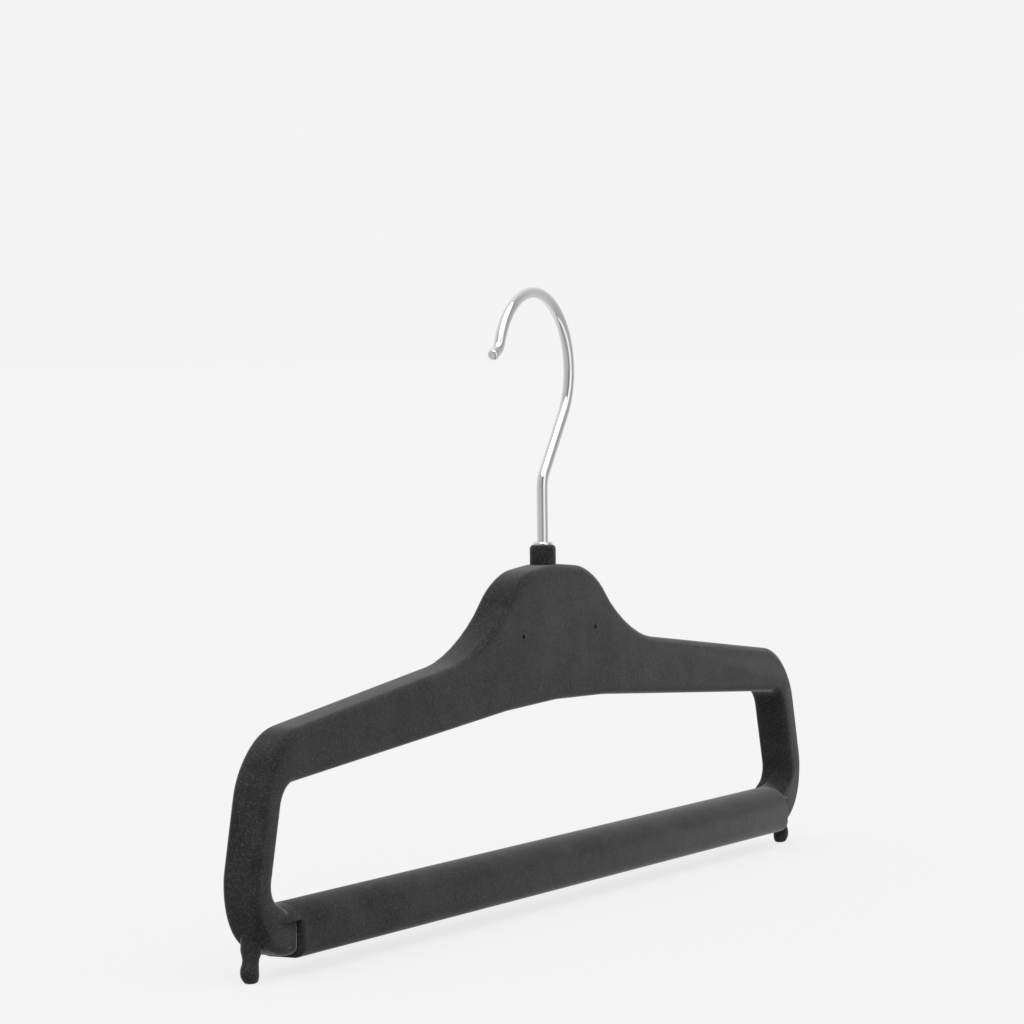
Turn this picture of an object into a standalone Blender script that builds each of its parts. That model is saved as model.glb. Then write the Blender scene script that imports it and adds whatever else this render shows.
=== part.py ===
"""A flocked trouser hanger with a swivelling chrome hook: two welded frame shells, a padded bar and the hook set.

Metres, +Z up. The frame lies in the XZ plane and its front faces -Y. Heights are measured from the feet of the
two loop pegs while the model is built, and one empty then carries everything so that the origin is the point
inside the hook that rests on the rail, straight above the middle of the frame.
"""

import math

import bmesh
import bpy
from mathutils import Matrix, Vector

# Driving dimensions
DEPTH = 0.0134  # frame thickness, front to rear
EDGE = 0.0026  # rounding of the frame's long edges
WALL = 0.0022  # shell wall
GAP = 0.0003  # clearance between pieces that touch
WIRE = 0.0040  # hook wire diameter
HOOK_RADIUS = 0.0284  # centre line of the hook's arc
HOOK_CENTRE = (-0.0050, 0.1940)
BAR_DIAMETER = 0.0180
BAR_BORE = 0.0146
SWELL = 0.00002  # how much the tube's wall swells on each side away from its ends
BAR_HEIGHT = 0.0148  # bar axis above the feet
BAR_ENDS = (-0.1847, 0.1958)  # the tube has end play, and sits to the right
SHOULDER = 0.1970  # inner end of the frame's feet, where the bar goes in
COLLAR_TOP = 0.1305
COLLAR_RADIUS = 0.00475
PEG_X = 0.2075

HALF = DEPTH / 2
SEAT_HEIGHT = HOOK_CENTRE[1] + math.sqrt((HOOK_RADIUS - WIRE / 2) ** 2 - HOOK_CENTRE[0] ** 2)

# Right half of the frame's outline, clockwise from the crown: x, z and corner radius
CROWN_TOP = (0.0, 0.1237, 0.060)
OUTER_CORNERS = [
    (0.0295, 0.1214, 0.033),  # crown
    (0.0554, 0.0948, 0.068),  # crown runs out into the arm
    (0.2033, 0.0784, 0.0284),  # shoulder
    (0.2214, 0.0082, 0.0172),  # foot of the leg
    (SHOULDER, 0.0082, 0.0016),  # foot's inner end, below
]
INNER_CORNERS = [
    (SHOULDER, 0.0168, 0.0020),  # foot's inner end, above
    (0.2047, 0.0277, 0.0060),  # lower corner of the opening
    (0.1954, 0.0624, 0.0094),  # upper corner of the opening
]
OPENING_TOP = (0.0, 0.0762, 0.555)


def clear_scene():
    for obj in list(bpy.data.objects):
        bpy.data.objects.remove(obj, do_unlink=True)


def make_collection(name):
    collection = bpy.data.collections.new(name)
    bpy.context.scene.collection.children.link(collection)
    return collection


def make_material(name, colour, roughness, metallic=0.0):
    material = bpy.data.materials.new(name)
    material.use_nodes = True
    shader = material.node_tree.nodes["Principled BSDF"]
    shader.inputs["Base Color"].default_value = (*colour, 1.0)
    shader.inputs["Roughness"].default_value = roughness
    shader.inputs["Metallic"].default_value = metallic
    return material


def add_object(name, data, collection):
    obj = bpy.data.objects.new(name, data)
    collection.objects.link(obj)
    return obj


def bake(obj, name, collection):
    """Turns an object, with its modifiers or its curve bevel, into a plain closed mesh object."""
    graph = bpy.context.evaluated_depsgraph_get()
    mesh = bpy.data.meshes.new_from_object(obj.evaluated_get(graph))
    mesh.name = name
    mesh.transform(obj.matrix_world)
    work = bmesh.new()
    work.from_mesh(mesh)
    bmesh.ops.remove_doubles(work, verts=work.verts, dist=1e-6)
    bmesh.ops.recalc_face_normals(work, faces=work.faces)
    if work.calc_volume(signed=True) < 0:
        bmesh.ops.reverse_faces(work, faces=work.faces)
    work.to_mesh(mesh)
    work.free()
    bpy.data.objects.remove(obj, do_unlink=True)
    return add_object(name, mesh, collection)


def cut(obj, tool, operation="DIFFERENCE"):
    modifier = obj.modifiers.new(tool.name, "BOOLEAN")
    modifier.operation = operation
    modifier.object = tool
    return modifier


def finish(obj, material):
    obj.data.materials.clear()
    obj.data.materials.append(material)
    obj.data.shade_smooth()
    obj.data.set_sharp_from_angle(angle=math.radians(35))


def corner_arc(before, corner, after, radius, step=math.radians(11)):
    """The points of the arc that rounds one corner of an outline."""
    corner = Vector(corner)
    back = (Vector(before) - corner).normalized()
    ahead = (Vector(after) - corner).normalized()
    opening = back.angle(ahead)
    reach = radius / math.tan(opening / 2)
    centre = corner + (back + ahead).normalized() * (radius / math.sin(opening / 2))
    start = corner + back * reach - centre
    turn = start.angle_signed(corner + ahead * reach - centre)
    count = max(2, math.ceil(abs(turn) / step))
    return [centre + Matrix.Rotation(-turn * i / count, 2) @ start for i in range(count + 1)]


def rounded_outline(corners):
    """A closed outline from (x, z, radius) corners."""
    points = []
    for i, (x, z, radius) in enumerate(corners):
        before = corners[i - 1][:2]
        after = corners[(i + 1) % len(corners)][:2]
        points += corner_arc(before, (x, z), after, radius)
    return points


def frame_outline():
    right = OUTER_CORNERS + INNER_CORNERS
    left = [(-x, z, radius) for x, z, radius in reversed(right)]
    return rounded_outline([CROWN_TOP, *right, OPENING_TOP, *left])


def outline_solid(name, points, inset, collection, steps):
    """A flat outline given the frame's thickness and rounded edges, all of it moved inwards by inset."""
    curve = bpy.data.curves.new(name, "CURVE")
    curve.dimensions = "2D"
    curve.fill_mode = "BOTH"
    curve.extrude = HALF - EDGE
    curve.bevel_depth = EDGE - inset
    curve.bevel_resolution = steps
    curve.offset = -EDGE
    spline = curve.splines.new("POLY")
    spline.points.add(len(points) - 1)
    for point, (x, z) in zip(spline.points, points):
        point.co = (x, z, 0.0, 1.0)
    spline.use_cyclic_u = True
    obj = add_object(name + "_curve", curve, collection)
    obj.rotation_euler = (math.pi / 2, 0.0, 0.0)
    bpy.context.view_layer.update()
    return bake(obj, name, collection)


def turned(name, profile, collection, steps=24, axis="Z"):
    """A body turned about an axis from a closed profile of (radius, height) points, run down its outer side."""
    mesh = bpy.data.meshes.new(name)
    count = len(profile)
    points = [(radius, 0.0, height) for radius, height in profile]
    mesh.from_pydata(points, [(i, (i + 1) % count) for i in range(count)], [])
    obj = add_object(name + "_profile", mesh, collection)
    screw = obj.modifiers.new("Turn", "SCREW")
    screw.steps = steps
    screw.render_steps = steps
    screw.use_merge_vertices = True
    screw.merge_threshold = 0.00001
    if axis == "X":
        obj.rotation_euler = (0.0, math.pi / 2, 0.0)
    bpy.context.view_layer.update()
    return bake(obj, name, collection)


def cylinder(name, radius, start, end, collection, segments=24):
    """A plain cylinder between two points."""
    start, end = Vector(start), Vector(end)
    mesh = bpy.data.meshes.new(name)
    work = bmesh.new()
    turn = (end - start).to_track_quat("Z", "Y").to_matrix().to_4x4()
    bmesh.ops.create_cone(
        work, cap_ends=True, segments=segments, radius1=radius, radius2=radius, depth=(end - start).length,
        matrix=Matrix.Translation((start + end) / 2) @ turn,
    )
    work.to_mesh(mesh)
    work.free()
    return add_object(name, mesh, collection)


def box(name, low, high, collection):
    """A plain box between two corners."""
    low, high = Vector(low), Vector(high)
    mesh = bpy.data.meshes.new(name)
    work = bmesh.new()
    size = Matrix.Diagonal((*(high - low), 1.0))
    bmesh.ops.create_cube(work, size=1.0, matrix=Matrix.Translation((low + high) / 2) @ size)
    work.to_mesh(mesh)
    work.free()
    return add_object(name, mesh, collection)


def hide_tools(collection):
    for obj in collection.objects:
        obj.hide_render = True
        obj.display_type = "WIRE"


# Hook set: the sizes that the wire, bush, washer and nut share
HOOK_FOOT = 0.1025
BUSH_BOTTOM = 0.1130
BUSH_BORE = WIRE / 2 + GAP
BUSH_RADIUS = 0.0031
BUSH_FLANGE = 0.0048
WASHER = (0.0050, 0.0008)  # radius, thickness
NUT_RADIUS = 0.0044
POCKET_RADIUS = 0.0062
POCKET = (0.1000, 0.1128)  # floor and ceiling


def hook_route():
    """Centre line of the wire from its foot: shank, kink, rise, arc and the turned-out tip."""
    cx, cz = HOOK_CENTRE
    kink_radius, kink_start = 0.0090, 0.1510
    # the rise touches both the kink's bend and the arc
    rise, run = cz - kink_start, kink_radius - cx
    kink = math.asin((HOOK_RADIUS + kink_radius) / math.hypot(rise, run)) - math.atan2(run, rise)
    tip_radius, tip_turn, tip_length = 0.0060, math.radians(44), 0.0030
    points = [Vector((0.0, HOOK_FOOT)), Vector((0.0, (HOOK_FOOT + kink_start) / 2))]
    for i in range(6):
        turn = kink * i / 5
        points.append(Vector((kink_radius * (1 - math.cos(turn)), kink_start + kink_radius * math.sin(turn))))
    start_angle = -kink  # where the arc's tangent has the rise's direction
    end_angle = math.radians(159)
    steps = 30
    for i in range(steps + 1):
        angle = start_angle + (end_angle - start_angle) * i / steps
        points.append(Vector((cx + HOOK_RADIUS * math.cos(angle), cz + HOOK_RADIUS * math.sin(angle))))
    outward = Vector((math.cos(end_angle), math.sin(end_angle)))
    centre = Vector((cx, cz)) + outward * (HOOK_RADIUS + tip_radius)
    for i in range(1, 6):
        turn = tip_turn * i / 5
        points.append(centre - Matrix.Rotation(-turn, 2) @ outward * tip_radius)
    heading = (points[-1] - points[-2]).normalized()
    points.append(points[-1] + heading * tip_length)
    return points


def build_hook(collection, material):
    points = hook_route()
    curve = bpy.data.curves.new("hook", "CURVE")
    curve.dimensions = "3D"
    curve.bevel_depth = WIRE / 2
    curve.bevel_resolution = 3
    curve.use_fill_caps = True
    spline = curve.splines.new("POLY")
    spline.points.add(len(points) - 1)
    for point, (x, z) in zip(spline.points, points):
        point.co = (x, 0.0, z, 1.0)
    spline.points[-1].radius = 0.72
    hook = bake(add_object("hook_curve", curve, collection), "hook", collection)
    finish(hook, material)
    return hook


def build_hook_fittings(collection, chrome, steel):
    """The flanged bush in the collar, and the washer and push nut that keep the wire in."""
    top = COLLAR_TOP + GAP
    bush = turned("hook_bush", [
        (BUSH_BORE, top + 0.0007), (BUSH_FLANGE - 0.0014, top + 0.0007), (BUSH_FLANGE - 0.0014, top),
        (BUSH_RADIUS, top), (BUSH_RADIUS, BUSH_BOTTOM), (BUSH_BORE, BUSH_BOTTOM),
    ], collection)
    finish(bush, chrome)
    washer_top = BUSH_BOTTOM - GAP - 0.0006
    washer_bottom = washer_top - WASHER[1]
    washer = turned("thrust_washer", [
        (WIRE / 2 + GAP, washer_top), (WASHER[0], washer_top), (WASHER[0], washer_bottom),
        (WIRE / 2 + GAP, washer_bottom),
    ], collection)
    finish(washer, steel)
    nut_top = washer_bottom - GAP
    dish, sheet = 0.0012, 0.0005
    inner = WIRE / 2 + GAP
    nut = turned("push_nut", [
        (inner, nut_top - dish), (inner + 0.0012, nut_top), (NUT_RADIUS, nut_top), (NUT_RADIUS, nut_top - sheet),
        (inner + 0.0012, nut_top - sheet), (inner, nut_top - dish - sheet),
    ], collection)
    finish(nut, steel)
    return bush, washer, nut


# Frame shells
SOCKET_RADIUS = 0.0055  # for the bar plugs' necks
SOCKET_END = 0.2065
NAME_PLATE_HOLES = (0.0286, 0.0991, 0.0009)  # x, z and radius
ARM_RIBS = [0.045, 0.075, 0.105, 0.135, 0.165]
DOWELS = [(0.0600, 0.0835), (0.1500, 0.0735), (0.2085, 0.0480)]
DOWEL_RADIUS, DOWEL_LENGTH = 0.0013, 0.0020


def peg_profile():
    """Radius and height of a loop peg: a waisted stem that ends in a rounded toe with a flat foot."""
    return [
        (0.0, 0.0120), (0.0026, 0.0120), (0.0025, 0.0075), (0.0026, 0.0058), (0.0029, 0.0042), (0.0030, 0.0030),
        (0.0028, 0.0016), (0.0022, 0.0005), (0.0014, 0.0), (0.0, 0.0),
    ]


def frame_blank(tools):
    """The whole frame as one solid, before it is hollowed and split."""
    blank = outline_solid("blank", frame_outline(), 0.0, tools, 2)
    collar = turned("collar", [
        (0.0, COLLAR_TOP), (COLLAR_RADIUS - 0.0012, COLLAR_TOP), (COLLAR_RADIUS - 0.0004, COLLAR_TOP - 0.0004),
        (COLLAR_RADIUS, COLLAR_TOP - 0.0012), (COLLAR_RADIUS + 0.0002, 0.1190), (0.0, 0.1190),
    ], tools)
    cut(blank, collar, "UNION")
    for side in (-1, 1):
        peg = turned(f"peg_{side}", peg_profile(), tools, steps=16)
        peg.data.transform(Matrix.Translation((side * PEG_X, 0.0, 0.0)))
        cut(blank, peg, "UNION")
    return bake(blank, "frame_blank", tools)


def frame_cavity(tools):
    """The hollow inside the frame, with the blocks, ribs and dowel posts left standing."""
    cavity = outline_solid("cavity_blank", frame_outline(), WALL, tools, 1)
    deep = DEPTH
    solid_places = [box("hook_block", (-0.0095, -deep, 0.0930), (0.0095, deep, 0.1300), tools)]
    for side in (-1, 1):
        ends = sorted((side * 0.1900, side * 0.2085))
        low, high = (ends[0], -deep, 0.0), (ends[1], deep, 0.0225)
        solid_places.append(box(f"socket_block_{side}", low, high, tools))
        for x in ARM_RIBS:
            middle = side * x
            low, high = (middle - 0.0007, -deep, 0.055), (middle + 0.0007, deep, 0.115)
            solid_places.append(box(f"rib_{middle:.3f}", low, high, tools))
        for x, z in DOWELS:
            start, end = (side * x, -deep, z), (side * x, deep, z)
            solid_places.append(cylinder(f"post_{side * x:.3f}", DOWEL_RADIUS + 0.0014, start, end, tools, 12))
    for place in solid_places:
        cut(cavity, place)
    return bake(cavity, "frame_cavity", tools)


def hook_seat_cutter(tools):
    """Collar bore, bush bore and the pocket that the washer and nut turn in."""
    bore = BUSH_RADIUS + GAP
    return turned("hook_seat", [
        (0.0, 0.1400), (bore, 0.1400), (bore, POCKET[1]), (POCKET_RADIUS, POCKET[1]),
        (POCKET_RADIUS, POCKET[0]), (0.0, POCKET[0]),
    ], tools)


def build_frame(parts, tools, material):
    blank = frame_blank(tools)
    cavity = frame_cavity(tools)
    seat = hook_seat_cutter(tools)
    sockets = [
        cylinder(f"socket_{side}", SOCKET_RADIUS, (side * 0.18, 0.0, BAR_HEIGHT), (side * SOCKET_END, 0.0, BAR_HEIGHT),
                 tools)
        for side in (-1, 1)
    ]
    hole_x, hole_z, hole_radius = NAME_PLATE_HOLES
    plate_holes = [
        cylinder(f"plate_hole_{side}", hole_radius, (side * hole_x, -DEPTH, hole_z),
                 (side * hole_x, -HALF + 2 * WALL, hole_z), tools, 12)
        for side in (-1, 1)
    ]
    shells = {}
    for name, front in (("frame_front", True), ("frame_rear", False)):
        shell = add_object(name, blank.data.copy(), tools)
        side = 1 if front else -1
        lowest, highest = sorted((-side * GAP / 2, side * 0.05))
        other_half = box(name + "_other_half", (-0.3, lowest, -0.1), (0.3, highest, 0.3), tools)
        for tool in (cavity, seat, *sockets):
            cut(shell, tool)
        cut(shell, other_half)
        for i, (x, z) in enumerate((s * x, z) for s in (-1, 1) for x, z in DOWELS):
            if front:
                start, end = (x, -DOWEL_LENGTH - 2 * GAP, z), (x, 0.01, z)
                cut(shell, cylinder(f"dowel_hole_{i}", DOWEL_RADIUS + GAP, start, end, tools, 12))
            else:
                start, end = (x, -DOWEL_LENGTH, z), (x, 0.0010, z)
                cut(shell, cylinder(f"dowel_{i}", DOWEL_RADIUS, start, end, tools, 12), "UNION")
        if front:
            for hole in plate_holes:
                cut(shell, hole)
        shells[name] = bake(shell, name, parts)
        finish(shells[name], material)
    bpy.data.objects.remove(blank, do_unlink=True)
    return shells


# Bar
def build_bar(parts, flock, plastic):
    outer, bore, edge = BAR_DIAMETER / 2, BAR_BORE / 2, 0.0022
    left, right = BAR_ENDS
    rounding = [
        (outer - edge + edge * math.sin(turn), edge - edge * math.cos(turn))
        for turn in (math.radians(a) for a in (0, 30, 60, 90))
    ]
    top_end = [(radius, right - drop) for radius, drop in rounding]
    bottom_end = [(radius, left + drop) for radius, drop in reversed(rounding)]
    rings = [left + (right - left) * share for share in (0.25, 0.5, 0.75)]
    outside = [(outer + SWELL, along) for along in reversed(rings)]
    inside = [(bore - SWELL, along) for along in rings]
    profile = [(bore, right), *top_end, *outside, *bottom_end, (bore, left), *inside]
    tube = turned("bar_tube", profile, parts, steps=28, axis="X")
    tube.data.transform(Matrix.Translation((0.0, 0.0, BAR_HEIGHT)))
    finish(tube, flock)
    plugs = []
    barrel, neck = BAR_BORE / 2 - GAP, SOCKET_RADIUS - GAP
    plug_start, barrel_end = 0.1620, 0.1842
    for name, side in (("bar_plug_left", -1), ("bar_plug_right", 1)):
        stops = [(0.0, plug_start), (barrel - 0.001, plug_start), (barrel, plug_start + 0.001), (barrel, barrel_end),
                 (neck, barrel_end), (neck, SOCKET_END - GAP), (0.0, SOCKET_END - GAP)]
        profile = [(radius, along) for radius, along in reversed(stops)]
        plug = turned(name, profile, parts, steps=24, axis="X")
        if side < 0:
            plug.data.transform(Matrix.Rotation(math.pi, 4, "Z"))
        plug.data.transform(Matrix.Translation((0.0, 0.0, BAR_HEIGHT)))
        finish(plug, plastic)
        plugs.append(plug)
    return tube, plugs


def carry(parts):
    """Moves everything so that the origin is the rail seat inside the hook."""
    root = bpy.data.objects.new("trouser_hanger_root", None)
    parts.objects.link(root)
    for obj in list(parts.objects):
        if obj is not root:
            obj.parent = root
    root.location = (0.0, 0.0, -SEAT_HEIGHT)


def main():
    clear_scene()
    parts = make_collection("trouser_hanger")
    tools = make_collection("cutters")
    chrome = make_material("chrome", (0.78, 0.78, 0.80), 0.10, 1.0)
    steel = make_material("plated_steel", (0.55, 0.55, 0.56), 0.35, 1.0)
    flock = make_material("flocked_plastic", (0.035, 0.035, 0.036), 0.95)
    bar_flock = make_material("flocked_tube", (0.038, 0.038, 0.039), 0.95)
    plastic = make_material("black_plastic", (0.015, 0.015, 0.016), 0.55)
    build_hook(parts, chrome)
    build_hook_fittings(parts, chrome.copy(), steel)
    build_frame(parts, tools, flock)
    build_bar(parts, bar_flock, plastic)
    hide_tools(tools)
    carry(parts)


main()
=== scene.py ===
import math

import bmesh
import bpy
from mathutils import Matrix, Vector


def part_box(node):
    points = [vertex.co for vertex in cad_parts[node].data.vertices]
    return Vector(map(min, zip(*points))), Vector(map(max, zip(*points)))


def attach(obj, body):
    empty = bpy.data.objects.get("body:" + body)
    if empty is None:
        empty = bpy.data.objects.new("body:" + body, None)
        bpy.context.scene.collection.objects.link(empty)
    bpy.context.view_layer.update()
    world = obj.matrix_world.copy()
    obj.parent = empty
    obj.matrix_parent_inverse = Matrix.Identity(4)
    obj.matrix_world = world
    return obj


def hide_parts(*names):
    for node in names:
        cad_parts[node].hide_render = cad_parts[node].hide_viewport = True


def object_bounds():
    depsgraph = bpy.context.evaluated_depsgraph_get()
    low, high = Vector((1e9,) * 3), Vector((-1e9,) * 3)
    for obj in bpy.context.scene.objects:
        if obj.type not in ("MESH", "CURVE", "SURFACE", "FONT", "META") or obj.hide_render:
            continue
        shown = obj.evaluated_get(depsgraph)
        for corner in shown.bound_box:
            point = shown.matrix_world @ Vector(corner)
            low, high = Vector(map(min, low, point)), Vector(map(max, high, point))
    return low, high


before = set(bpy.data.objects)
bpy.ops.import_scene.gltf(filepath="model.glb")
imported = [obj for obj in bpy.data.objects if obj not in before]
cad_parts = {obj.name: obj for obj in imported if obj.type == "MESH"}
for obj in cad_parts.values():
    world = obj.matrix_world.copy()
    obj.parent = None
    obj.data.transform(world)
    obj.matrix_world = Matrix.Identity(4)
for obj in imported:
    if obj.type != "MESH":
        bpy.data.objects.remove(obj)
cadLow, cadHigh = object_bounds()
feetLevel = cadLow.z  # heights below are given above the two loop pegs' feet
barLow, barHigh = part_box("bar_tube")
barLevel = (barLow.z + barHigh.z) / 2
shellLow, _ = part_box("frame_front")
halfDepth = -shellLow.y
print("frame loaded:", len(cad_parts), "nodes")


# ---- small helpers shared by all pieces

def clearSelection():
    if bpy.context.mode != "OBJECT":
        bpy.ops.object.mode_set(mode="OBJECT")
    bpy.ops.object.select_all(action="DESELECT")


def pick(obj):
    clearSelection()
    obj.select_set(True)
    bpy.context.view_layer.objects.active = obj


def nameNew(name):
    obj = bpy.context.active_object
    obj.name = name
    obj.data.name = name
    return obj


def selectVerts(obj, test):
    # chooses vertices by place, ready for the next edit mode operator
    mesh = bmesh.from_edit_mesh(obj.data)
    for part in (mesh.verts, mesh.edges, mesh.faces):
        for item in part:
            item.select = False
    mesh.select_mode = {"VERT"}
    bpy.context.tool_settings.mesh_select_mode = (True, False, False)
    for vert in mesh.verts:
        if test(vert.co):
            vert.select = True
    mesh.select_flush_mode()
    bmesh.update_edit_mesh(obj.data)


def selectEdges(obj, test):
    mesh = bmesh.from_edit_mesh(obj.data)
    for part in (mesh.verts, mesh.edges, mesh.faces):
        for item in part:
            item.select = False
    mesh.select_mode = {"EDGE"}
    bpy.context.tool_settings.mesh_select_mode = (False, True, False)
    for edge in mesh.edges:
        if test(edge):
            edge.select_set(True)
    bmesh.update_edit_mesh(obj.data)


def selectFaces(obj, test):
    mesh = bmesh.from_edit_mesh(obj.data)
    for part in (mesh.verts, mesh.edges, mesh.faces):
        for item in part:
            item.select = False
    mesh.select_mode = {"FACE"}
    bpy.context.tool_settings.mesh_select_mode = (False, False, True)
    for face in mesh.faces:
        if test(face):
            face.select_set(True)
    bmesh.update_edit_mesh(obj.data)


def extrudeBy(step):
    bpy.ops.mesh.extrude_region_move(TRANSFORM_OT_translate={"value": tuple(step)})


def settle(obj, angle=40):
    # place goes into the mesh, normals face out, shading is smooth except at real edges
    pick(obj)
    bpy.ops.object.transform_apply(location=True, rotation=True, scale=True)
    bpy.ops.object.mode_set(mode="EDIT")
    bpy.ops.mesh.select_all(action="SELECT")
    bpy.ops.mesh.remove_doubles(threshold=0.000002)
    bpy.ops.mesh.normals_make_consistent(inside=False)
    bpy.ops.object.mode_set(mode="OBJECT")
    bpy.ops.object.shade_smooth_by_angle(angle=math.radians(angle))
    return obj


def joinShape(obj, tool, operation):
    pick(obj)
    change = obj.modifiers.new(operation.lower(), "BOOLEAN")
    change.operation = operation
    change.solver = "EXACT"
    change.object = tool
    bpy.ops.object.modifier_apply(modifier=change.name)
    toolMesh = tool.data
    bpy.data.objects.remove(tool)
    bpy.data.meshes.remove(toolMesh)


def turnedRing(name, stations, segments=48):
    # a closed ring: one circle carried round its profile of radius and height, then bridged to its start
    clearSelection()
    radius, height = stations[0]
    bpy.ops.mesh.primitive_circle_add(vertices=segments, radius=radius, fill_type="NOTHING",
                                      location=(0, 0, height))
    ring = nameNew(name)
    bpy.ops.object.transform_apply(location=True)
    bpy.ops.object.mode_set(mode="EDIT")
    bpy.ops.mesh.select_all(action="SELECT")
    for nextRadius, nextHeight in stations[1:]:
        extrudeBy((0, 0, nextHeight - height))
        size = nextRadius / radius
        bpy.ops.transform.resize(value=(size, size, 1), center_override=(0, 0, nextHeight))
        radius, height = nextRadius, nextHeight
    first = stations[0]

    def onEndRings(co):
        away = math.hypot(co.x, co.y)
        ends = ((first[0], first[1]), (radius, height))
        return any(abs(away - r) < 1e-6 and abs(co.z - z) < 1e-6 for r, z in ends)

    selectVerts(ring, onEndRings)
    bpy.ops.mesh.select_mode(type="EDGE")
    selectEdges(ring, lambda edge: edge.is_boundary)
    bpy.ops.mesh.bridge_edge_loops()
    bpy.ops.object.mode_set(mode="OBJECT")
    return settle(ring, 50)


# ---- materials

def newFinish(name, colour, roughness, metallic=0.0):
    finish = bpy.data.materials.new(name)
    finish.use_nodes = True
    shader = finish.node_tree.nodes["Principled BSDF"]
    shader.inputs["Base Color"].default_value = (*colour, 1)
    shader.inputs["Roughness"].default_value = roughness
    shader.inputs["Metallic"].default_value = metallic
    return finish, shader


flockLook = {
    "base": (0.0178, 0.0178, 0.0180),
    "light": (0.0310, 0.0310, 0.0310),
    # painted glint: colour of the few fibres painted lighter, as if catching the light, and the share of fibres
    # that get it
    "fibreGlint": (0.100, 0.100, 0.099),
    "glintShare": 0.30,
    "sheen": 0.58,
    "sheenRoughness": 0.32,
    "fibresPerMetre": 2600,
    "patchesPerMetre": 70,
}


def makeFlock(name, brightness=1.0):
    look = flockLook
    finish, shader = newFinish(name, look["base"], 1.0)
    nodes, links = finish.node_tree.nodes, finish.node_tree.links
    shader.inputs["Specular IOR Level"].default_value = 0.1
    shader.inputs["Sheen Weight"].default_value = look["sheen"]
    shader.inputs["Sheen Roughness"].default_value = look["sheenRoughness"]
    shader.inputs["Sheen Tint"].default_value = (1, 1, 1, 1)
    place = nodes.new("ShaderNodeTexCoord")
    # broad patches where the pile leans one way or the other
    patches = nodes.new("ShaderNodeTexNoise")
    patches.inputs["Scale"].default_value = look["patchesPerMetre"]
    patches.inputs["Detail"].default_value = 4
    links.new(place.outputs["Object"], patches.inputs["Vector"])
    patchRamp = nodes.new("ShaderNodeValToRGB")
    patchRamp.color_ramp.elements[0].position = 0.35
    patchRamp.color_ramp.elements[1].position = 0.70
    patchRamp.color_ramp.elements[0].color = (*[c * brightness for c in look["base"]], 1)
    patchRamp.color_ramp.elements[1].color = (*[c * brightness for c in look["light"]], 1)
    links.new(patches.outputs["Fac"], patchRamp.inputs["Fac"])
    # short fibres, a few of them painted lighter: a painted glint where fibres would catch the light
    fibres = nodes.new("ShaderNodeTexVoronoi")
    fibres.inputs["Scale"].default_value = look["fibresPerMetre"]
    links.new(place.outputs["Object"], fibres.inputs["Vector"])
    chosen = nodes.new("ShaderNodeSeparateColor")
    links.new(fibres.outputs["Color"], chosen.inputs["Color"])
    glintRamp = nodes.new("ShaderNodeValToRGB")
    glintRamp.color_ramp.elements[0].position = 1 - look["glintShare"]
    glintRamp.color_ramp.elements[1].position = 1.0
    glintRamp.color_ramp.elements[0].color = (0, 0, 0, 1)
    glintRamp.color_ramp.elements[1].color = (0.4, 0.4, 0.4, 1)
    links.new(chosen.outputs["Red"], glintRamp.inputs["Fac"])
    mixed = nodes.new("ShaderNodeMix")
    mixed.data_type = "RGBA"
    links.new(glintRamp.outputs["Color"], mixed.inputs["Factor"])
    links.new(patchRamp.outputs["Color"], mixed.inputs["A"])
    mixed.inputs["B"].default_value = (*look["fibreGlint"], 1)
    links.new(mixed.outputs["Result"], shader.inputs["Base Color"])
    # the pile's own fine relief
    grain = nodes.new("ShaderNodeTexNoise")
    grain.inputs["Scale"].default_value = look["fibresPerMetre"] * 0.7
    grain.inputs["Detail"].default_value = 5
    links.new(place.outputs["Object"], grain.inputs["Vector"])
    relief = nodes.new("ShaderNodeBump")
    relief.inputs["Strength"].default_value = 0.42
    relief.inputs["Distance"].default_value = 0.0003
    links.new(grain.outputs["Fac"], relief.inputs["Height"])
    links.new(relief.outputs["Normal"], shader.inputs["Normal"])
    return finish


def makeChrome(name, roughness=0.06):
    finish, shader = newFinish(name, (0.80, 0.80, 0.81), roughness, 1.0)
    nodes, links = finish.node_tree.nodes, finish.node_tree.links
    place = nodes.new("ShaderNodeTexCoord")
    drawn = nodes.new("ShaderNodeTexNoise")
    drawn.inputs["Scale"].default_value = 900
    drawn.inputs["Detail"].default_value = 3
    links.new(place.outputs["Object"], drawn.inputs["Vector"])
    spread = nodes.new("ShaderNodeMapRange")
    spread.inputs["To Min"].default_value = roughness * 0.6
    spread.inputs["To Max"].default_value = roughness * 1.6
    links.new(drawn.outputs["Fac"], spread.inputs["Value"])
    links.new(spread.outputs["Result"], shader.inputs["Roughness"])
    relief = nodes.new("ShaderNodeBump")
    relief.inputs["Strength"].default_value = 0.05
    relief.inputs["Distance"].default_value = 0.0001
    links.new(drawn.outputs["Fac"], relief.inputs["Height"])
    links.new(relief.outputs["Normal"], shader.inputs["Normal"])
    return finish


def makePlated(name):
    finish, shader = newFinish(name, (0.55, 0.55, 0.56), 0.35, 1.0)
    nodes, links = finish.node_tree.nodes, finish.node_tree.links
    place = nodes.new("ShaderNodeTexCoord")
    spangle = nodes.new("ShaderNodeTexNoise")
    spangle.inputs["Scale"].default_value = 1200
    links.new(place.outputs["Object"], spangle.inputs["Vector"])
    spread = nodes.new("ShaderNodeMapRange")
    spread.inputs["To Min"].default_value = 0.25
    spread.inputs["To Max"].default_value = 0.45
    links.new(spangle.outputs["Fac"], spread.inputs["Value"])
    links.new(spread.outputs["Result"], shader.inputs["Roughness"])
    return finish


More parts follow.
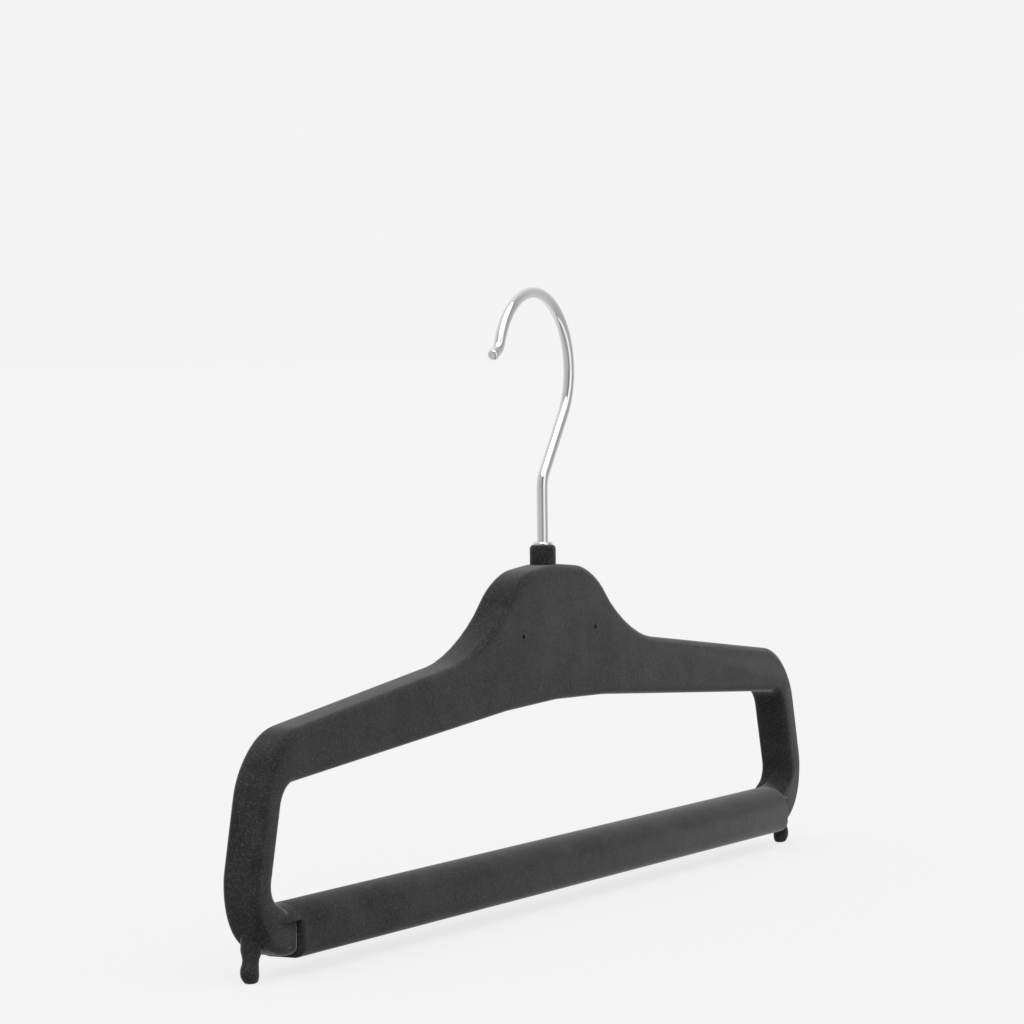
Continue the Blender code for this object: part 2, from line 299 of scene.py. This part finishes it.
def makeBlackPlastic(name):
    finish, shader = newFinish(name, (0.012, 0.012, 0.013), 0.6)
    nodes, links = finish.node_tree.nodes, finish.node_tree.links
    place = nodes.new("ShaderNodeTexCoord")
    grain = nodes.new("ShaderNodeTexNoise")
    grain.inputs["Scale"].default_value = 2500
    grain.inputs["Detail"].default_value = 4
    links.new(place.outputs["Object"], grain.inputs["Vector"])
    relief = nodes.new("ShaderNodeBump")
    relief.inputs["Strength"].default_value = 0.3
    relief.inputs["Distance"].default_value = 0.0001
    links.new(grain.outputs["Fac"], relief.inputs["Height"])
    links.new(relief.outputs["Normal"], shader.inputs["Normal"])
    return finish


frameFlock = makeFlock("frameFlock")
barFlock = makeFlock("barFlock", 1.06)
hookChrome = makeChrome("hookChrome")
bushChrome = makeChrome("bushChrome", 0.12)
platedSteel = makePlated("platedSteel")
plugPlastic = makeBlackPlastic("plugPlastic")
print("materials made")


# ---- flocked frame: crown, arms, legs and feet in one skin

frameShape = {
    "frontEdge": 0.0028,  # rounding of the long edges
    "rearEdge": 0.0028,
    "edgeSteps": 6,
    "cornerStep": 6,  # degrees of arc per segment
    # right half, clockwise from the top of the crown: x, height and corner radius
    "corners": [
        (0.0295, 0.1214, 0.0330),
        (0.0554, 0.0948, 0.0680),
        (0.2033, 0.0784, 0.0284),
        (0.2166, 0.0268, 0.0230),
        (0.2048, 0.0072, 0.0208),
        (0.1880, 0.0072, 0.0030),
        (0.1880, 0.0190, 0.0030),
        (0.2047, 0.0277, 0.0060),
        (0.1954, 0.0624, 0.0094),
    ],
    "crownTop": (0.0, 0.1237, 0.060),
    "windowTop": (0.0, 0.0762, 0.555),
}


def makeOutline(name, corners, y):
    # one vertex drawn round the corners, closed, and each corner then rounded
    clearSelection()
    points = [Vector((x, y, z + feetLevel)) for x, z, radius in corners]
    bpy.ops.mesh.primitive_plane_add(size=0.001, location=points[0])
    outline = nameNew(name)
    bpy.ops.object.transform_apply(location=True)
    bpy.ops.object.mode_set(mode="EDIT")
    bpy.ops.mesh.select_mode(type="VERT")
    bpy.ops.mesh.select_all(action="SELECT")
    bpy.ops.mesh.merge(type="CENTER")
    for here, after in zip(points, points[1:]):
        bpy.ops.mesh.extrude_vertices_move(TRANSFORM_OT_translate={"value": tuple(after - here)})
    bpy.ops.mesh.select_all(action="SELECT")
    bpy.ops.mesh.edge_face_add()
    for i, (x, z, radius) in enumerate(corners):
        here = points[i]
        back = (points[i - 1] - here).angle(points[(i + 1) % len(points)] - here)
        reach = radius / math.tan(back / 2)
        steps = max(2, round((180 - math.degrees(back)) / frameShape["cornerStep"]))
        selectVerts(outline, lambda co: (co - here).length < 1e-5)
        bpy.ops.mesh.bevel(offset=reach, offset_type="OFFSET", segments=steps, affect="VERTICES", profile=0.5)
    return outline


def makeFrameSkin():
    shape = frameShape
    right = shape["corners"]
    left = [(-x, z, radius) for x, z, radius in reversed(right)]
    corners = [shape["crownTop"], *right, shape["windowTop"], *left]
    skin = makeOutline("frameSkin", corners, -halfDepth)
    selectFaces(skin, lambda face: True)
    extrudeBy((0, 2 * halfDepth, 0))
    bpy.ops.mesh.select_all(action="SELECT")
    bpy.ops.mesh.normals_make_consistent(inside=False)
    for y, size in ((-halfDepth, shape["frontEdge"]), (halfDepth, shape["rearEdge"])):
        selectEdges(skin, lambda edge: all(abs(v.co.y - y) < 1e-5 for v in edge.verts))
        bpy.ops.mesh.bevel(offset=size, offset_type="OFFSET", segments=shape["edgeSteps"], affect="EDGES",
                           profile=0.5, clamp_overlap=True)
    bpy.ops.object.mode_set(mode="OBJECT")
    return skin


# ---- loop pegs under the feet

pegShape = {
    "centre": 0.2078,
    "steps": 28,
    # height, shift outwards, half width and half depth, from inside the foot down to the toe
    "stations": [
        (0.0185, 0.0000, 0.0022, 0.0022),
        (0.0150, -0.0002, 0.0034, 0.0030),
        (0.0108, -0.0006, 0.0040, 0.0034),
        (0.0090, -0.0005, 0.0036, 0.0030),
        (0.0076, -0.0002, 0.0031, 0.0026),
        (0.0062, 0.0002, 0.0032, 0.0026),
        (0.0050, 0.0006, 0.0035, 0.0028),
        (0.0036, 0.0007, 0.0036, 0.0029),
        (0.0022, 0.0005, 0.0035, 0.0028),
        (0.0009, 0.0001, 0.0030, 0.0024),
        (0.0002, 0.0000, 0.0024, 0.0019),
        (0.0000, 0.0000, 0.0018, 0.0014),
    ],
}


def makePeg(side):
    clearSelection()
    height, shift, wide, deep = pegShape["stations"][0]
    bpy.ops.mesh.primitive_circle_add(vertices=pegShape["steps"], radius=1, fill_type="NGON")
    peg = nameNew("pegTool")
    centre = pegShape["centre"]
    peg.scale = (wide, deep, 1)
    peg.location = (side * (centre + shift), 0, height + feetLevel)
    bpy.ops.object.transform_apply(location=True, rotation=True, scale=True)
    bpy.ops.object.mode_set(mode="EDIT")
    bpy.ops.mesh.select_mode(type="FACE")
    bpy.ops.mesh.select_all(action="SELECT")
    for nextHeight, nextShift, nextWide, nextDeep in pegShape["stations"][1:]:
        extrudeBy((side * (nextShift - shift), 0, nextHeight - height))
        middle = (side * (centre + nextShift), 0, nextHeight + feetLevel)
        bpy.ops.transform.resize(value=(nextWide / wide, nextDeep / deep, 1), center_override=middle)
        height, shift, wide, deep = nextHeight, nextShift, nextWide, nextDeep
    bpy.ops.mesh.select_all(action="SELECT")
    bpy.ops.mesh.normals_make_consistent(inside=False)
    bpy.ops.object.mode_set(mode="OBJECT")
    return peg


# ---- saddle: the leg flares into the top of the bar's end

saddleShape = {
    "underside": 0.0186,
    "steps": 64,
    # distance from the middle, half depth and height over the bar's axis
    "stations": [
        (0.1800, 0.00892, 0.00892),
        (0.1905, 0.00892, 0.00892),
        (0.1940, 0.0087, 0.0091),
        (0.1970, 0.0081, 0.0096),
        (0.1995, 0.0075, 0.0106),
        (0.2015, 0.0070, 0.0120),
        (0.2035, 0.0065, 0.0142),
        (0.2060, 0.0061, 0.0150),
    ],
}


def makeSaddle(side):
    clearSelection()
    along, deep, tall = saddleShape["stations"][0]
    bpy.ops.mesh.primitive_circle_add(vertices=saddleShape["steps"], radius=1, fill_type="NGON",
                                      rotation=(0, math.pi / 2, 0))
    saddle = nameNew("saddleTool")
    bpy.ops.object.transform_apply(rotation=True)
    saddle.scale = (1, deep, tall)
    saddle.location = (side * along, 0, barLevel)
    bpy.ops.object.transform_apply(location=True, scale=True)
    bpy.ops.object.mode_set(mode="EDIT")
    bpy.ops.mesh.select_mode(type="FACE")
    bpy.ops.mesh.select_all(action="SELECT")
    for nextAlong, nextDeep, nextTall in saddleShape["stations"][1:]:
        extrudeBy((side * (nextAlong - along), 0, 0))
        middle = (side * nextAlong, 0, barLevel)
        bpy.ops.transform.resize(value=(1, nextDeep / deep, nextTall / tall), center_override=middle)
        along, deep, tall = nextAlong, nextDeep, nextTall
    bpy.ops.mesh.select_all(action="SELECT")
    bpy.ops.mesh.normals_make_consistent(inside=False)
    bpy.ops.object.mode_set(mode="OBJECT")
    clearSelection()
    # a block round the saddle, with its floor at the underside
    blockSize, blockReach = 0.05, 0.19
    blockHeight = saddleShape["underside"] + blockSize / 2 + feetLevel
    bpy.ops.mesh.primitive_cube_add(size=blockSize, location=(side * blockReach, 0, blockHeight))
    upperHalf = nameNew("saddleLimit")
    bpy.ops.object.transform_apply(location=True)
    joinShape(saddle, upperHalf, "INTERSECT")
    return saddle


# ---- collar on the crown

collarShape = {
    "radius": 0.00475,
    "top": 0.1305,
    "root": 0.1180,
    "topEdge": 0.0014,
}


def makeCollar():
    clearSelection()
    shape = collarShape
    depth = shape["top"] - shape["root"]
    middle = (shape["top"] + shape["root"]) / 2 + feetLevel
    bpy.ops.mesh.primitive_cylinder_add(vertices=48, radius=shape["radius"], depth=depth,
                                        location=(0, 0, middle))
    collar = nameNew("collarTool")
    bpy.ops.object.transform_apply(location=True)
    bpy.ops.object.mode_set(mode="EDIT")
    topLevel = shape["top"] + feetLevel
    selectEdges(collar, lambda edge: all(abs(v.co.z - topLevel) < 1e-5 for v in edge.verts))
    bpy.ops.mesh.bevel(offset=shape["topEdge"], segments=5, affect="EDGES", profile=0.5)
    bpy.ops.object.mode_set(mode="OBJECT")
    return collar


# ---- holes cut in the frame: name plate pins and the hook's seat

holeShape = {
    "plateHole": (0.0286, 0.0991, 0.0009, 0.004),  # x, height, radius, depth
    "boreRadius": 0.0033,
    "pocketRadius": 0.0060,
    "pocketTop": 0.1127,
    "pocketFloor": 0.1001,
}


def makeCutter(radius, start, end, steps=32):
    clearSelection()
    start, end = Vector(start), Vector(end)
    along = end - start
    bpy.ops.mesh.primitive_cylinder_add(vertices=steps, radius=radius, depth=along.length,
                                        location=(start + end) / 2,
                                        rotation=along.to_track_quat("Z", "Y").to_euler())
    bpy.ops.object.transform_apply(location=True, rotation=True)
    return nameNew("cutter")


def cutHoles(skin):
    shape = holeShape
    x, height, radius, depth = shape["plateHole"]
    level = height + feetLevel
    for side in (-1, 1):
        front = -halfDepth
        cutter = makeCutter(radius, (side * x, front - 0.002, level), (side * x, front + depth, level), 20)
        joinShape(skin, cutter, "DIFFERENCE")
    top = (0, 0, collarShape["top"] + 0.003 + feetLevel)
    pocketTop = (0, 0, shape["pocketTop"] + feetLevel)
    floor = (0, 0, shape["pocketFloor"] + feetLevel)
    joinShape(skin, makeCutter(shape["boreRadius"], (0, 0, pocketTop[2] - 0.001), top), "DIFFERENCE")
    joinShape(skin, makeCutter(shape["pocketRadius"], floor, pocketTop), "DIFFERENCE")


frameSkin = makeFrameSkin()
joinShape(frameSkin, makeCollar(), "UNION")
for side in (-1, 1):
    joinShape(frameSkin, makePeg(side), "UNION")
cutHoles(frameSkin)
saddles = [makeSaddle(side) for side in (-1, 1)]
pick(frameSkin)
for saddle in saddles:
    saddle.select_set(True)
bpy.ops.object.join()
settle(frameSkin, 38)
frameSkin.data.materials.append(frameFlock)
print("frame skin:", len(frameSkin.data.polygons), "faces")


# ---- flocked bar and the plugs that hold it

barShape = {
    "endEdge": 0.0008,
    "lowerEdge": 0.0045,
    "leftReach": 0.0038,  # how far the padding passes the tube's left end
    "plugRadius": 0.0070,
    "plugStart": 0.1620,
    "plugStep": 0.1842,
    "neckRadius": 0.0052,
    "neckEnd": 0.2062,
}


def makeBar():
    # round on top, upright sides, a flat underside and closed ends
    clearSelection()
    shape = barShape
    leftEnd, rightEnd = barLow.x - shape["leftReach"], barHigh.x
    length = rightEnd - leftEnd
    radius = (barHigh.z - barLow.z) / 2
    bpy.ops.mesh.primitive_cube_add(size=1, location=((leftEnd + rightEnd) / 2, 0, barLevel))
    bar = nameNew("barSleeve")
    bar.scale = (length, 2 * radius, 2 * radius)
    bpy.ops.object.transform_apply(location=True, scale=True)
    bpy.ops.object.mode_set(mode="EDIT")

    def isLong(edge):
        return abs(edge.verts[0].co.x - edge.verts[1].co.x) > length / 2

    for upper, size, steps in ((True, radius * 0.999, 24), (False, shape["lowerEdge"], 8)):
        selectEdges(bar, lambda edge: isLong(edge) and (edge.verts[0].co.z > barLevel) == upper)
        bpy.ops.mesh.bevel(offset=size, offset_type="OFFSET", segments=steps, affect="EDGES", profile=0.5)
    selectEdges(bar, lambda edge: not isLong(edge))
    bpy.ops.mesh.bevel(offset=shape["endEdge"], segments=5, affect="EDGES", profile=0.5)
    bpy.ops.object.mode_set(mode="OBJECT")
    settle(bar, 40)
    bar.data.materials.append(barFlock)
    return bar


def makePlug(side, name):
    clearSelection()
    shape = barShape
    length = shape["plugStep"] - shape["plugStart"]
    middle = (side * (shape["plugStep"] + shape["plugStart"]) / 2, 0, barLevel)
    bpy.ops.mesh.primitive_cylinder_add(vertices=64, radius=shape["plugRadius"], depth=length, location=middle,
                                        rotation=(0, math.pi / 2, 0))
    plug = nameNew(name)
    bpy.ops.object.transform_apply(location=True, rotation=True)
    bpy.ops.object.mode_set(mode="EDIT")
    selectFaces(plug, lambda face: len(face.verts) > 20 and face.normal.x * side > 0.9)
    bpy.ops.mesh.inset(thickness=shape["plugRadius"] - shape["neckRadius"])
    extrudeBy((side * (shape["neckEnd"] - shape["plugStep"]), 0, 0))
    selectEdges(plug, lambda edge: len(edge.link_faces) == 2 and edge.calc_face_angle(0) > 1.2)
    bpy.ops.mesh.bevel(offset=0.0003, segments=2, affect="EDGES")
    bpy.ops.object.mode_set(mode="OBJECT")
    settle(plug, 40)
    plug.data.materials.append(plugPlastic)
    return plug


barSleeve = makeBar()
plugLeft = makePlug(-1, "barPlugLeft")
plugRight = makePlug(1, "barPlugRight")
print("bar and plugs made")


# ---- chrome hook: one wire, extruded and spun along its bends

hookShape = {
    "wire": 0.0040,
    "wireSteps": 32,
    "foot": 0.1025,
    "kinkStart": 0.1510,
    "kinkRadius": 0.0090,
    "arcRadius": 0.0280,
    "arcCentre": (-0.0055, 0.1935),
    "arcEnd": 159,
    "tipRadius": 0.0060,
    "tipTurn": 44,
    "tipLength": 0.0030,
}


def makeHook():
    shape = hookShape
    clearSelection()
    radius = shape["wire"] / 2
    bpy.ops.mesh.primitive_circle_add(vertices=shape["wireSteps"], radius=radius, fill_type="NGON",
                                      location=(0, 0, shape["foot"] + feetLevel))
    hook = nameNew("hookWire")
    bpy.ops.object.transform_apply(location=True)
    bpy.ops.object.mode_set(mode="EDIT")
    bpy.ops.mesh.select_mode(type="FACE")
    bpy.ops.mesh.select_all(action="SELECT")
    # shank up to the kink
    extrudeBy((0, 0, shape["kinkStart"] - shape["foot"]))
    # the rise is the line that touches both the kink's bend and the arc
    arcX, arcZ = shape["arcCentre"]
    kinkRadius, arcRadius = shape["kinkRadius"], shape["arcRadius"]
    rise, run = arcZ - shape["kinkStart"], kinkRadius - arcX
    kink = math.asin((arcRadius + kinkRadius) / math.hypot(rise, run)) - math.atan2(run, rise)
    bpy.ops.mesh.spin(steps=10, angle=-kink, center=(kinkRadius, 0, shape["kinkStart"] + feetLevel),
                      axis=(0, 1, 0))
    bendEnd = Vector((kinkRadius * (1 - math.cos(kink)), 0, shape["kinkStart"] + kinkRadius * math.sin(kink)))
    arcStart = Vector((arcX + arcRadius * math.cos(kink), 0, arcZ - arcRadius * math.sin(kink)))
    extrudeBy(arcStart - bendEnd)
    sweep = kink + math.radians(shape["arcEnd"])
    bpy.ops.mesh.spin(steps=64, angle=sweep, center=(arcX, 0, arcZ + feetLevel), axis=(0, 1, 0))
    # the tip turns out again
    end = math.radians(shape["arcEnd"])
    away = arcRadius + shape["tipRadius"]
    tipCentre = (arcX + away * math.cos(end), 0, arcZ + away * math.sin(end) + feetLevel)
    turn = math.radians(shape["tipTurn"])
    bpy.ops.mesh.spin(steps=12, angle=-turn, center=tipCentre, axis=(0, 1, 0))
    heading = end + math.pi / 2 - turn
    extrudeBy(shape["tipLength"] * Vector((math.cos(heading), 0, math.sin(heading))))
    bpy.ops.mesh.select_mode(type="EDGE")
    bpy.ops.mesh.region_to_loop()
    bpy.ops.mesh.bevel(offset=0.0009, segments=5, affect="EDGES", profile=0.5)
    bpy.ops.object.mode_set(mode="OBJECT")
    settle(hook, 50)
    hook.data.materials.append(hookChrome)
    return hook


hookWire = makeHook()
print("hook:", len(hookWire.data.polygons), "faces")


# ---- bush in the collar, washer and push nut under it

seatShape = {
    "bushTop": 0.1315,
    "bushFlange": 0.0036,
    "bushRadius": 0.0031,
    "bushBore": 0.0023,
    "bushBottom": 0.1130,
    "washerRadius": 0.0050,
    "nutRadius": 0.0044,
}


def makeSeatPieces():
    shape = seatShape
    up = feetLevel
    bore, flange, sleeve = shape["bushBore"], shape["bushFlange"], shape["bushRadius"]
    top, collarTop, bottom = shape["bushTop"] + up, collarShape["top"] + up, shape["bushBottom"] + up
    bush = turnedRing("bushRing", [
        (bore, bottom), (bore, top - 0.0003), (bore + 0.0003, top),
        (flange - 0.0003, top), (flange, top - 0.0003), (flange, collarTop + 0.0002),
        (sleeve, collarTop + 0.0001), (sleeve, bottom),
    ])
    bush.data.materials.append(bushChrome)
    washerTop = bottom - 0.0009
    washer = turnedRing("thrustWasher", [
        (bore, washerTop - 0.0008), (bore, washerTop), (shape["washerRadius"] - 0.0001, washerTop),
        (shape["washerRadius"], washerTop - 0.0001), (shape["washerRadius"], washerTop - 0.0008),
    ])
    washer.data.materials.append(platedSteel)
    nutTop = washerTop - 0.0011
    nut = turnedRing("pushNut", [
        (bore, nutTop - 0.0017), (bore, nutTop - 0.0012), (bore + 0.0012, nutTop), (shape["nutRadius"], nutTop),
        (shape["nutRadius"], nutTop - 0.0005), (bore + 0.0012, nutTop - 0.0005),
    ])
    nut.data.materials.append(platedSteel.copy())
    return bush, washer, nut


bushRing, thrustWasher, pushNut = makeSeatPieces()
print("bush, washer and nut made")


# ---- which body each piece rides on, and the CAD nodes it stands for

for piece, body, nodes, slot in (
    (frameSkin, "hanger_frame", ("frame_front", "frame_rear"), "frame_front"),
    (barSleeve, "hanger_frame", ("bar_tube",), "bar_tube"),
    (plugLeft, "hanger_frame", ("bar_plug_left",), "bar_plug_left"),
    (plugRight, "hanger_frame", ("bar_plug_right",), "bar_plug_right"),
    (bushRing, "hanger_frame", ("hook_bush",), "hook_bush"),
    (hookWire, "hook_set", ("hook",), "hook"),
    (thrustWasher, "hook_set", ("thrust_washer",), "thrust_washer"),
    (pushNut, "hook_set", ("push_nut",), "push_nut"),
):
    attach(piece, body)
    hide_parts(*nodes)


# ---- floor, light and camera

stageLook = {
    "floorColour": 0.71,
    "floorGlow": 0.86,  # share of the floor's brightness that no shadow takes away
    "floorBounce": 0.70,  # how much of the glow lights the hanger from below
    "backdrop": 0.905,
    "fill": 0.62,
    "sunStrength": 2.40,
    "sunAngle": 60,
    "sunTilt": (10, -18, 0),
    # a plain studio all round, which only the chrome sees: place round the circle, and brightness
    "bands": [
        (0.0, 0.5),
        (0.1, 0.2),  # dark card
        (0.2, 1.3),  # soft box
        (0.3, 0.4),  # dark card
        (0.6, 0.9),  # light wall
        (1.0, 0.5),
    ],
}


def makeBands(nodes, links, place):
    # bright and dark upright bands round the hanger
    around = nodes.new("ShaderNodeTexGradient")
    around.gradient_type = "RADIAL"
    links.new(place, around.inputs["Vector"])
    bands = nodes.new("ShaderNodeValToRGB")
    bands.color_ramp.interpolation = "EASE"
    stops = bands.color_ramp.elements
    (first, firstLight), *between, (last, lastLight) = stageLook["bands"]
    stops[0].position, stops[0].color = first, (*[firstLight] * 3, 1)
    stops[1].position, stops[1].color = last, (*[lastLight] * 3, 1)
    for position, light in between:
        stops.new(position).color = (*[light] * 3, 1)
    links.new(around.outputs["Fac"], bands.inputs["Fac"])
    return bands.outputs["Color"]


def makeFloor():
    clearSelection()
    bpy.ops.mesh.primitive_plane_add(size=60, location=(0, 0, feetLevel))
    floor = nameNew("floor")
    glow = stageLook["floorGlow"]
    paper, shader = newFinish("floorPaper", [stageLook["floorColour"] * (1 - glow)] * 3, 1.0)
    shader.inputs["Emission Strength"].default_value = stageLook["backdrop"] * glow
    shader.inputs["Specular IOR Level"].default_value = 0.0
    nodes, links = paper.node_tree.nodes, paper.node_tree.links
    place = nodes.new("ShaderNodeTexCoord")
    ray = nodes.new("ShaderNodeLightPath")
    glossy = nodes.new("ShaderNodeMix")
    seen = nodes.new("ShaderNodeMix")
    glossy.data_type = seen.data_type = "RGBA"
    glossy.inputs["A"].default_value = (*[stageLook["floorBounce"]] * 3, 1)
    seen.inputs["B"].default_value = (1, 1, 1, 1)
    links.new(ray.outputs["Is Glossy Ray"], glossy.inputs["Factor"])
    links.new(makeBands(nodes, links, place.outputs["Object"]), glossy.inputs["B"])
    links.new(ray.outputs["Is Camera Ray"], seen.inputs["Factor"])
    links.new(glossy.outputs["Result"], seen.inputs["A"])
    links.new(seen.outputs["Result"], shader.inputs["Emission Color"])
    floor.data.materials.append(paper)


def makeLight():
    bpy.ops.object.light_add(type="SUN", rotation=[math.radians(a) for a in stageLook["sunTilt"]])
    sun = bpy.context.active_object
    sun.data.energy = stageLook["sunStrength"]
    sun.data.angle = math.radians(stageLook["sunAngle"])
    world = bpy.data.worlds.new("studio")
    bpy.context.scene.world = world
    world.use_nodes = True
    nodes, links = world.node_tree.nodes, world.node_tree.links
    nodes.clear()
    out = nodes.new("ShaderNodeOutputWorld")
    backdrop = nodes.new("ShaderNodeBackground")
    backdrop.inputs["Color"].default_value = (*[stageLook["backdrop"]] * 3, 1)
    fill = nodes.new("ShaderNodeBackground")
    fill.inputs["Color"].default_value = (1, 1, 1, 1)
    fill.inputs["Strength"].default_value = stageLook["fill"]
    # the studio's walls, as the chrome sees them
    walls = nodes.new("ShaderNodeBackground")
    where = nodes.new("ShaderNodeTexCoord")
    links.new(makeBands(nodes, links, where.outputs["Generated"]), walls.inputs["Color"])
    ray = nodes.new("ShaderNodeLightPath")
    gloss = nodes.new("ShaderNodeMixShader")
    seen = nodes.new("ShaderNodeMixShader")
    links.new(ray.outputs["Is Glossy Ray"], gloss.inputs["Fac"])
    links.new(fill.outputs[0], gloss.inputs[1])
    links.new(walls.outputs[0], gloss.inputs[2])
    links.new(ray.outputs["Is Camera Ray"], seen.inputs["Fac"])
    links.new(gloss.outputs[0], seen.inputs[1])
    links.new(backdrop.outputs[0], seen.inputs[2])
    links.new(seen.outputs[0], out.inputs["Surface"])


cameraPlace = {
    "azimuth": -62.825,
    "elevation": 4.914,
    "distance": 1.5577,
    "targetHeight": 0.0715,  # above the feet
    "yaw": -0.404,
    "pitch": 2.608,
    "roll": -0.643,
    "lens": 151.2,
}


def makeCamera():
    place = {key: math.radians(value) for key, value in cameraPlace.items()}
    azimuth, elevation = place["azimuth"], place["elevation"]
    back = Vector((math.sin(azimuth) * math.cos(elevation), -math.cos(azimuth) * math.cos(elevation),
                   math.sin(elevation)))
    target = Vector((0, 0, feetLevel + cameraPlace["targetHeight"]))
    ahead = -back
    right = ahead.cross(Vector((0, 0, 1))).normalized()
    up = right.cross(ahead)
    # turned a little from the target, so that the hanger sits low in the picture
    ahead, right = (ahead * math.cos(place["yaw"]) + right * math.sin(place["yaw"]),
                    right * math.cos(place["yaw"]) - ahead * math.sin(place["yaw"]))
    ahead, up = (ahead * math.cos(place["pitch"]) + up * math.sin(place["pitch"]),
                 up * math.cos(place["pitch"]) - ahead * math.sin(place["pitch"]))
    right, up = (right * math.cos(place["roll"]) + up * math.sin(place["roll"]),
                 up * math.cos(place["roll"]) - right * math.sin(place["roll"]))
    turn = Matrix((right, up, -ahead)).transposed()
    bpy.ops.object.camera_add(location=target + back * cameraPlace["distance"], rotation=turn.to_euler())
    camera = bpy.context.active_object
    camera.data.lens = cameraPlace["lens"]
    camera.data.sensor_width = 36
    bpy.context.scene.camera = camera


clearSelection()
makeFloor()
makeLight()
makeCamera()
bpy.context.scene.view_settings.view_transform = "Standard"
print("floor, light and camera set")
